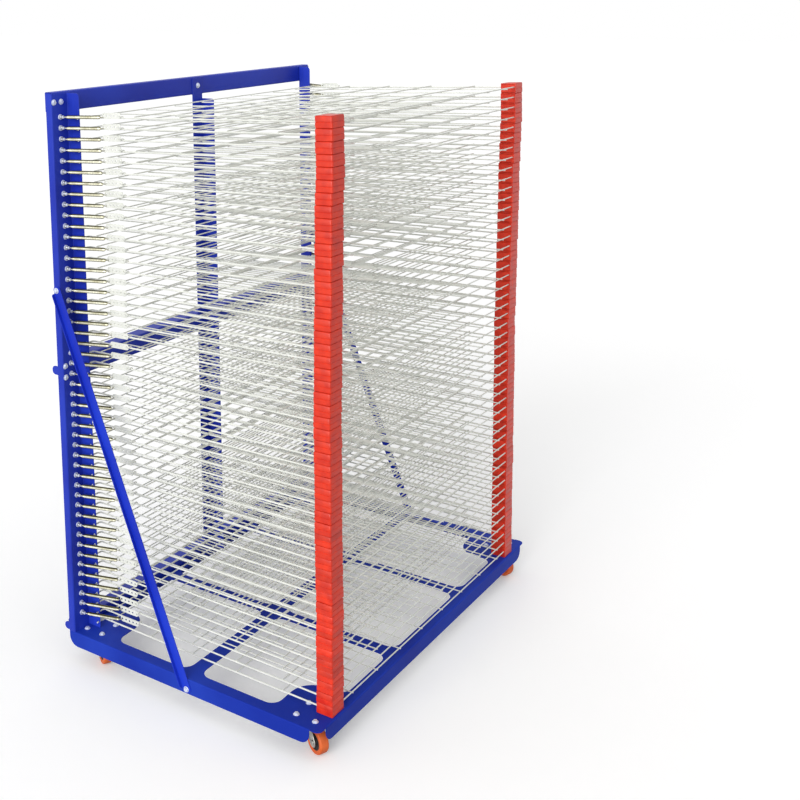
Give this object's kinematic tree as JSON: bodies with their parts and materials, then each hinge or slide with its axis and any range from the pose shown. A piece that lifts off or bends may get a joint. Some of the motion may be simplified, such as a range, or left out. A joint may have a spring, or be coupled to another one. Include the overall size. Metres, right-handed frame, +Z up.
{
  "type": "art drying rack",
  "caption": "Floor-standing drying rack with hinged wire shelves stacked on corner spacers, a bent sheet back frame with braces, and a castored base.",
  "frame": {"origin": "on the floor, at the middle of the rack's outline", "axes": "+X across the rack to the right seen from the open front, +Y from the open front to the back frame, +Z up"},
  "size_m": [1.056, 0.74, 1.378],
  "materials": {
    "frame_paint": "gloss blue enamel",
    "shelf_paint": "satin white enamel",
    "spacer_plastic": "satin orange",
    "zinc": "bright zinc plate",
    "spring_wire": "yellow zinc plate",
    "castor_steel": "zinc plate",
    "castor_tread": "satin orange tyre"
  },
  "bodies": {
    "rack": {"base_pan": "frame_paint", "left_upright": "frame_paint", "right_upright": "frame_paint", "centre_post": "frame_paint", "top_rail": "frame_paint", "middle_rail": "frame_paint", "foot_rail": "frame_paint", "left_brace": "frame_paint", "right_brace": "frame_paint", "frame_bolts": "zinc", "spring_screws": "zinc", "shelf_springs": "spring_wire", "castor_plates": "castor_steel", "castor_bolts": "zinc", "bottom_shelf": "shelf_paint", "lower_shelf_grids": "shelf_paint", "lower_shelf_spacers": "spacer_plastic", "lower_shelf_tabs": "shelf_paint"},
    "shelf_50": {"shelf_50": "shelf_paint"},
    "shelf_49": {"shelf_49": "shelf_paint"},
    "shelf_48": {"shelf_48": "shelf_paint"},
    "shelf_47": {"shelf_47": "shelf_paint"},
    "shelf_46": {"shelf_46": "shelf_paint"},
    "shelf_45": {"shelf_45": "shelf_paint"},
    "shelf_44": {"shelf_44": "shelf_paint"},
    "shelf_43": {"shelf_43": "shelf_paint"},
    "shelf_42": {"shelf_42": "shelf_paint"},
    "shelf_41": {"shelf_41": "shelf_paint"},
    "shelf_40": {"shelf_40": "shelf_paint"},
    "shelf_39": {"shelf_39": "shelf_paint"},
    "shelf_38": {"shelf_38": "shelf_paint"},
    "shelf_37": {"shelf_37": "shelf_paint"},
    "shelf_36": {"shelf_36": "shelf_paint"},
    "shelf_35": {"shelf_35": "shelf_paint"},
    "shelf_34": {"shelf_34": "shelf_paint"},
    "shelf_33": {"shelf_33": "shelf_paint"},
    "shelf_32": {"shelf_32": "shelf_paint"},
    "shelf_31": {"shelf_31": "shelf_paint"},
    "shelf_30": {"shelf_30": "shelf_paint"},
    "shelf_29": {"shelf_29": "shelf_paint"},
    "shelf_28": {"shelf_28": "shelf_paint"},
    "shelf_27": {"shelf_27": "shelf_paint"},
    "shelf_26": {"shelf_26": "shelf_paint"},
    "shelf_25": {"shelf_25": "shelf_paint"},
    "shelf_24": {"shelf_24": "shelf_paint"},
    "shelf_23": {"shelf_23": "shelf_paint"},
    "shelf_22": {"shelf_22": "shelf_paint"},
    "shelf_21": {"shelf_21": "shelf_paint"},
    "shelf_20": {"shelf_20": "shelf_paint"},
    "shelf_19": {"shelf_19": "shelf_paint"},
    "shelf_18": {"shelf_18": "shelf_paint"},
    "shelf_17": {"shelf_17": "shelf_paint"},
    "castor_front_left": {"castor_fork_front_left": "castor_steel"},
    "wheel_front_left": {"castor_wheel_front_left": "castor_tread"},
    "castor_front_right": {"castor_fork_front_right": "castor_steel"},
    "wheel_front_right": {"castor_wheel_front_right": "castor_tread"},
    "castor_rear_left": {"castor_fork_rear_left": "castor_steel"},
    "wheel_rear_left": {"castor_wheel_rear_left": "castor_tread"},
    "castor_rear_right": {"castor_fork_rear_right": "castor_steel"},
    "wheel_rear_right": {"castor_wheel_rear_right": "castor_tread"}
  },
  "joints": [
    {"name": "shelf_50_lift", "type": "hinge", "parent": "rack", "child": "shelf_50", "pos_m": [0, 0.3025, 1.31775], "axis": [-1, 0, 0], "range_deg": [0, 55], "deforming": ["shelf_springs"]},
    {"name": "shelf_49_lift", "type": "hinge", "parent": "rack", "child": "shelf_49", "pos_m": [0, 0.3025, 1.29275], "axis": [-1, 0, 0], "range_deg": [0, 54.01]},
    {"name": "shelf_48_lift", "type": "hinge", "parent": "rack", "child": "shelf_48", "pos_m": [0, 0.3025, 1.26775], "axis": [-1, 0, 0], "range_deg": [0, 53.04]},
    {"name": "shelf_47_lift", "type": "hinge", "parent": "rack", "child": "shelf_47", "pos_m": [0, 0.3025, 1.24275], "axis": [-1, 0, 0], "range_deg": [0, 52.1]},
    {"name": "shelf_46_lift", "type": "hinge", "parent": "rack", "child": "shelf_46", "pos_m": [0, 0.3025, 1.21775], "axis": [-1, 0, 0], "range_deg": [0, 51.19]},
    {"name": "shelf_45_lift", "type": "hinge", "parent": "rack", "child": "shelf_45", "pos_m": [0, 0.3025, 1.19275], "axis": [-1, 0, 0], "range_deg": [0, 50.32]},
    {"name": "shelf_44_lift", "type": "hinge", "parent": "rack", "child": "shelf_44", "pos_m": [0, 0.3025, 1.16775], "axis": [-1, 0, 0], "range_deg": [0, 49.47]},
    {"name": "shelf_43_lift", "type": "hinge", "parent": "rack", "child": "shelf_43", "pos_m": [0, 0.3025, 1.14275], "axis": [-1, 0, 0], "range_deg": [0, 48.64]},
    {"name": "shelf_42_lift", "type": "hinge", "parent": "rack", "child": "shelf_42", "pos_m": [0, 0.3025, 1.11775], "axis": [-1, 0, 0], "range_deg": [0, 47.85]},
    {"name": "shelf_41_lift", "type": "hinge", "parent": "rack", "child": "shelf_41", "pos_m": [0, 0.3025, 1.09275], "axis": [-1, 0, 0], "range_deg": [0, 47.07]},
    {"name": "shelf_40_lift", "type": "hinge", "parent": "rack", "child": "shelf_40", "pos_m": [0, 0.3025, 1.06775], "axis": [-1, 0, 0], "range_deg": [0, 46.33]},
    {"name": "shelf_39_lift", "type": "hinge", "parent": "rack", "child": "shelf_39", "pos_m": [0, 0.3025, 1.04275], "axis": [-1, 0, 0], "range_deg": [0, 45.6]},
    {"name": "shelf_38_lift", "type": "hinge", "parent": "rack", "child": "shelf_38", "pos_m": [0, 0.3025, 1.01775], "axis": [-1, 0, 0], "range_deg": [0, 44.9]},
    {"name": "shelf_37_lift", "type": "hinge", "parent": "rack", "child": "shelf_37", "pos_m": [0, 0.3025, 0.99275], "axis": [-1, 0, 0], "range_deg": [0, 44.21]},
    {"name": "shelf_36_lift", "type": "hinge", "parent": "rack", "child": "shelf_36", "pos_m": [0, 0.3025, 0.96775], "axis": [-1, 0, 0], "range_deg": [0, 43.55]},
    {"name": "shelf_35_lift", "type": "hinge", "parent": "rack", "child": "shelf_35", "pos_m": [0, 0.3025, 0.94275], "axis": [-1, 0, 0], "range_deg": [0, 42.91]},
    {"name": "shelf_34_lift", "type": "hinge", "parent": "rack", "child": "shelf_34", "pos_m": [0, 0.3025, 0.91775], "axis": [-1, 0, 0], "range_deg": [0, 42.28]},
    {"name": "shelf_33_lift", "type": "hinge", "parent": "rack", "child": "shelf_33", "pos_m": [0, 0.3025, 0.89275], "axis": [-1, 0, 0], "range_deg": [0, 41.67]},
    {"name": "shelf_32_lift", "type": "hinge", "parent": "rack", "child": "shelf_32", "pos_m": [0, 0.3025, 0.86775], "axis": [-1, 0, 0], "range_deg": [0, 41.08]},
    {"name": "shelf_31_lift", "type": "hinge", "parent": "rack", "child": "shelf_31", "pos_m": [0, 0.3025, 0.84275], "axis": [-1, 0, 0], "range_deg": [0, 40.51]},
    {"name": "shelf_30_lift", "type": "hinge", "parent": "rack", "child": "shelf_30", "pos_m": [0, 0.3025, 0.81775], "axis": [-1, 0, 0], "range_deg": [0, 39.95]},
    {"name": "shelf_29_lift", "type": "hinge", "parent": "rack", "child": "shelf_29", "pos_m": [0, 0.3025, 0.79275], "axis": [-1, 0, 0], "range_deg": [0, 39.41]},
    {"name": "shelf_28_lift", "type": "hinge", "parent": "rack", "child": "shelf_28", "pos_m": [0, 0.3025, 0.76775], "axis": [-1, 0, 0], "range_deg": [0, 38.88]},
    {"name": "shelf_27_lift", "type": "hinge", "parent": "rack", "child": "shelf_27", "pos_m": [0, 0.3025, 0.74275], "axis": [-1, 0, 0], "range_deg": [0, 38.36]},
    {"name": "shelf_26_lift", "type": "hinge", "parent": "rack", "child": "shelf_26", "pos_m": [0, 0.3025, 0.71775], "axis": [-1, 0, 0], "range_deg": [0, 37.86]},
    {"name": "shelf_25_lift", "type": "hinge", "parent": "rack", "child": "shelf_25", "pos_m": [0, 0.3025, 0.69275], "axis": [-1, 0, 0], "range_deg": [0, 37.38]},
    {"name": "shelf_24_lift", "type": "hinge", "parent": "rack", "child": "shelf_24", "pos_m": [0, 0.3025, 0.66775], "axis": [-1, 0, 0], "range_deg": [0, 36.9]},
    {"name": "shelf_23_lift", "type": "hinge", "parent": "rack", "child": "shelf_23", "pos_m": [0, 0.3025, 0.64275], "axis": [-1, 0, 0], "range_deg": [0, 36.44]},
    {"name": "shelf_22_lift", "type": "hinge", "parent": "rack", "child": "shelf_22", "pos_m": [0, 0.3025, 0.61775], "axis": [-1, 0, 0], "range_deg": [0, 35.99]},
    {"name": "shelf_21_lift", "type": "hinge", "parent": "rack", "child": "shelf_21", "pos_m": [0, 0.3025, 0.59275], "axis": [-1, 0, 0], "range_deg": [0, 35.55]},
    {"name": "shelf_20_lift", "type": "hinge", "parent": "rack", "child": "shelf_20", "pos_m": [0, 0.3025, 0.56775], "axis": [-1, 0, 0], "range_deg": [0, 35.13]},
    {"name": "shelf_19_lift", "type": "hinge", "parent": "rack", "child": "shelf_19", "pos_m": [0, 0.3025, 0.54275], "axis": [-1, 0, 0], "range_deg": [0, 34.71]},
    {"name": "shelf_18_lift", "type": "hinge", "parent": "rack", "child": "shelf_18", "pos_m": [0, 0.3025, 0.51775], "axis": [-1, 0, 0], "range_deg": [0, 34.3]},
    {"name": "shelf_17_lift", "type": "hinge", "parent": "rack", "child": "shelf_17", "pos_m": [0, 0.3025, 0.49275], "axis": [-1, 0, 0], "range_deg": [0, 33.91]},
    {"name": "castor_front_left_swivel", "type": "hinge", "parent": "rack", "child": "castor_front_left", "pos_m": [-0.461, -0.316, 0.067], "axis": [0, 0, 1], "continuous": true},
    {"name": "wheel_front_left_roll", "type": "hinge", "parent": "castor_front_left", "child": "wheel_front_left", "pos_m": [-0.4696, -0.33625, 0.028], "axis": [0.9205, -0.3907, 0], "continuous": true},
    {"name": "castor_front_right_swivel", "type": "hinge", "parent": "rack", "child": "castor_front_right", "pos_m": [0.461, -0.316, 0.067], "axis": [0, 0, 1], "continuous": true},
    {"name": "wheel_front_right_roll", "type": "hinge", "parent": "castor_front_right", "child": "wheel_front_right", "pos_m": [0.45531, -0.33725, 0.028], "axis": [0.9659, -0.2588, 0], "continuous": true},
    {"name": "castor_rear_left_swivel", "type": "hinge", "parent": "rack", "child": "castor_rear_left", "pos_m": [-0.461, 0.296, 0.067], "axis": [0, 0, 1], "continuous": true},
    {"name": "wheel_rear_left_roll", "type": "hinge", "parent": "castor_rear_left", "child": "wheel_rear_left", "pos_m": [-0.472, 0.27695, 0.028], "axis": [0.866, -0.5, 0], "continuous": true},
    {"name": "castor_rear_right_swivel", "type": "hinge", "parent": "rack", "child": "castor_rear_right", "pos_m": [0.461, 0.296, 0.067], "axis": [0, 0, 1], "continuous": true},
    {"name": "wheel_rear_right_roll", "type": "hinge", "parent": "castor_rear_right", "child": "wheel_rear_right", "pos_m": [0.45348, 0.27533, 0.028], "axis": [0.9397, -0.342, 0], "continuous": true}
  ],
  "couplings": [
    {"joint": "shelf_49_lift", "follows": "shelf_50_lift", "ratio": 0.98177},
    {"joint": "shelf_48_lift", "follows": "shelf_50_lift", "ratio": 0.96415},
    {"joint": "shelf_47_lift", "follows": "shelf_50_lift", "ratio": 0.94711},
    {"joint": "shelf_46_lift", "follows": "shelf_50_lift", "ratio": 0.93062},
    {"joint": "shelf_45_lift", "follows": "shelf_50_lift", "ratio": 0.91467},
    {"joint": "shelf_44_lift", "follows": "shelf_50_lift", "ratio": 0.89922},
    {"joint": "shelf_43_lift", "follows": "shelf_50_lift", "ratio": 0.88426},
    {"joint": "shelf_42_lift", "follows": "shelf_50_lift", "ratio": 0.86977},
    {"joint": "shelf_41_lift", "follows": "shelf_50_lift", "ratio": 0.85572},
    {"joint": "shelf_40_lift", "follows": "shelf_50_lift", "ratio": 0.84211},
    {"joint": "shelf_39_lift", "follows": "shelf_50_lift", "ratio": 0.82891},
    {"joint": "shelf_38_lift", "follows": "shelf_50_lift", "ratio": 0.8161},
    {"joint": "shelf_37_lift", "follows": "shelf_50_lift", "ratio": 0.80368},
    {"joint": "shelf_36_lift", "follows": "shelf_50_lift", "ratio": 0.79162},
    {"joint": "shelf_35_lift", "follows": "shelf_50_lift", "ratio": 0.77991},
    {"joint": "shelf_34_lift", "follows": "shelf_50_lift", "ratio": 0.76854},
    {"joint": "shelf_33_lift", "follows": "shelf_50_lift", "ratio": 0.75749},
    {"joint": "shelf_32_lift", "follows": "shelf_50_lift", "ratio": 0.74675},
    {"joint": "shelf_31_lift", "follows": "shelf_50_lift", "ratio": 0.73632},
    {"joint": "shelf_30_lift", "follows": "shelf_50_lift", "ratio": 0.72617},
    {"joint": "shelf_29_lift", "follows": "shelf_50_lift", "ratio": 0.7163},
    {"joint": "shelf_28_lift", "follows": "shelf_50_lift", "ratio": 0.70671},
    {"joint": "shelf_27_lift", "follows": "shelf_50_lift", "ratio": 0.69736},
    {"joint": "shelf_26_lift", "follows": "shelf_50_lift", "ratio": 0.68827},
    {"joint": "shelf_25_lift", "follows": "shelf_50_lift", "ratio": 0.67942},
    {"joint": "shelf_24_lift", "follows": "shelf_50_lift", "ratio": 0.6708},
    {"joint": "shelf_23_lift", "follows": "shelf_50_lift", "ratio": 0.66241},
    {"joint": "shelf_22_lift", "follows": "shelf_50_lift", "ratio": 0.65423},
    {"joint": "shelf_21_lift", "follows": "shelf_50_lift", "ratio": 0.64626},
    {"joint": "shelf_20_lift", "follows": "shelf_50_lift", "ratio": 0.63849},
    {"joint": "shelf_19_lift", "follows": "shelf_50_lift", "ratio": 0.63092},
    {"joint": "shelf_18_lift", "follows": "shelf_50_lift", "ratio": 0.62354},
    {"joint": "shelf_17_lift", "follows": "shelf_50_lift", "ratio": 0.61633}
  ]
}
